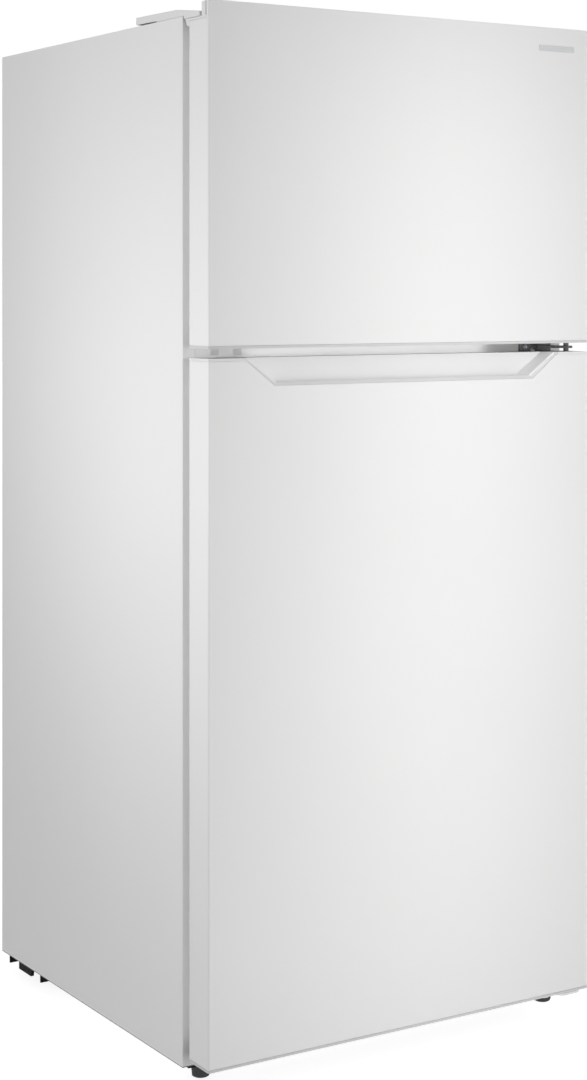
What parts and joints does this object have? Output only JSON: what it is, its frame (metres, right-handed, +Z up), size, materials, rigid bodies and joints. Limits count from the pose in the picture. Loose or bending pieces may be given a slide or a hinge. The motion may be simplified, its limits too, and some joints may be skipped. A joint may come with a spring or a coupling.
{
  "type": "top freezer refrigerator",
  "caption": "Free-standing white refrigerator with a freezer above and fresh food below, two hinged doors with a pocket grip, shelves, bins, drawers and a rear cooling unit.",
  "frame": {"origin": "centre of the footprint on the floor", "axes": "+X to the right of a viewer facing the doors, +Y to the back of the cabinet, +Z up; the doors face -Y"},
  "size_m": [0.749, 0.768, 1.68],
  "materials": {
    "white_enamel": "satin",
    "grey_enamel": "satin",
    "galvanised": "satin",
    "black_steel": "satin",
    "bright_steel": "satin",
    "aluminium": "satin",
    "white_plastic": "satin",
    "white_moulding": "satin",
    "dark_plastic": "matte",
    "clear_plastic": "gloss",
    "shelf_glass": "gloss",
    "grey_gasket": "matte",
    "black_rubber": "matte",
    "foam": "matte"
  },
  "bodies": {
    "cabinet": {"outer_case": "white_enamel", "insulation": "foam", "freezer_liner": "white_moulding", "fridge_liner": "white_moulding", "mullion_rail": "white_enamel", "mullion_plug_inner": "white_plastic", "mullion_plug_outer": "white_plastic", "base_rail": "grey_enamel", "base_plate": "galvanised", "back_panel": "galvanised", "condenser_coil": "black_steel", "compressor_cover": "galvanised", "cord_gland": "black_rubber", "compressor_base": "black_steel", "compressor": "black_steel", "drain_pan": "dark_plastic", "foot_bracket_left": "black_steel", "top_hinge": "bright_steel", "middle_hinge": "bright_steel", "bottom_hinge": "bright_steel", "hinge_cover_left": "white_plastic", "hinge_cover_right": "white_plastic", "evaporator": "aluminium", "evaporator_cover": "white_moulding", "freezer_shelf": "white_enamel", "air_duct": "white_moulding", "control_housing": "white_moulding", "lamp_lens": "clear_plastic", "fridge_shelf_upper": "shelf_glass", "fridge_shelf_lower": "shelf_glass", "crisper_cover": "shelf_glass"},
    "freezer_door": {"freezer_door_skin": "white_enamel", "freezer_door_core": "foam", "freezer_door_liner": "white_moulding", "freezer_door_top_cap": "white_plastic", "freezer_door_bottom_cap": "white_plastic", "freezer_door_gasket": "grey_gasket", "freezer_door_bin_lower": "clear_plastic", "freezer_door_bin_upper": "clear_plastic", "nameplate": "bright_steel"},
    "fridge_door": {"fridge_door_skin": "white_enamel", "fridge_door_core": "foam", "fridge_door_liner": "white_moulding", "fridge_door_top_cap": "white_plastic", "fridge_door_bottom_cap": "white_plastic", "fridge_door_gasket": "grey_gasket", "fridge_door_bin_lower": "clear_plastic", "fridge_door_bin_middle": "clear_plastic", "fridge_door_bin_upper": "clear_plastic"},
    "left_crisper": {"crisper_left": "clear_plastic"},
    "right_crisper": {"crisper_right": "clear_plastic"},
    "left_humidity_slider": {"humidity_slider_left": "white_plastic"},
    "right_humidity_slider": {"humidity_slider_right": "white_plastic"},
    "freezer_knob": {"freezer_control_knob": "white_plastic"},
    "fridge_knob": {"fridge_control_knob": "white_plastic"},
    "left_roller": {"roller_left": "dark_plastic"},
    "right_roller": {"roller_right": "dark_plastic"},
    "left_foot": {"leveling_foot_left": "dark_plastic"},
    "right_foot": {"leveling_foot_right": "dark_plastic"},
    "fan": {"evaporator_fan": "dark_plastic"}
  },
  "joints": [
    {"name": "freezer_door_hinge", "type": "hinge", "parent": "cabinet", "child": "freezer_door", "pos_m": [0.3505, -0.352, 1.4], "axis": [0, 0, 1], "range_deg": [0, 135]},
    {"name": "fridge_door_hinge", "type": "hinge", "parent": "cabinet", "child": "fridge_door", "pos_m": [0.3505, -0.352, 0.6], "axis": [0, 0, 1], "range_deg": [0, 135]},
    {"name": "left_crisper_slide", "type": "slide", "parent": "cabinet", "child": "left_crisper", "axis": [0, -1, 0], "range_m": [0, 0.225]},
    {"name": "right_crisper_slide", "type": "slide", "parent": "cabinet", "child": "right_crisper", "axis": [0, -1, 0], "range_m": [0, 0.225]},
    {"name": "left_humidity_slide", "type": "slide", "parent": "cabinet", "child": "left_humidity_slider", "axis": [1, 0, 0], "range_m": [0, 0.04]},
    {"name": "right_humidity_slide", "type": "slide", "parent": "cabinet", "child": "right_humidity_slider", "axis": [1, 0, 0], "range_m": [0, 0.04]},
    {"name": "freezer_knob_turn", "type": "hinge", "parent": "cabinet", "child": "freezer_knob", "pos_m": [-0.215, 0.24, 1.33], "axis": [0, 1, 0], "range_deg": [0, 270]},
    {"name": "fridge_knob_turn", "type": "hinge", "parent": "cabinet", "child": "fridge_knob", "pos_m": [0.06, -0.235, 1.068], "axis": [0, 1, 0], "range_deg": [0, 270]},
    {"name": "left_roller_spin", "type": "hinge", "parent": "cabinet", "child": "left_roller", "pos_m": [-0.32, 0.28, 0.02], "axis": [1, 0, 0], "continuous": true},
    {"name": "right_roller_spin", "type": "hinge", "parent": "cabinet", "child": "right_roller", "pos_m": [0.32, 0.28, 0.02], "axis": [1, 0, 0], "continuous": true},
    {"name": "left_foot_screw", "type": "hinge", "parent": "cabinet", "child": "left_foot", "pos_m": [-0.327, -0.278, 0.01], "axis": [0, 0, 1], "continuous": true},
    {"name": "right_foot_screw", "type": "hinge", "parent": "cabinet", "child": "right_foot", "pos_m": [0.35, -0.287, 0.005], "axis": [0, 0, 1], "continuous": true},
    {"name": "fan_spin", "type": "hinge", "parent": "cabinet", "child": "fan", "pos_m": [0, 0.2735, 1.52], "axis": [0, 1, 0], "continuous": true}
  ],
  "couplings": [
    {"joint": "left_crisper_slide", "follows": "fridge_door_hinge", "m_per_rad": 0.0954},
    {"joint": "right_crisper_slide", "follows": "fridge_door_hinge", "m_per_rad": 0.0954}
  ]
}
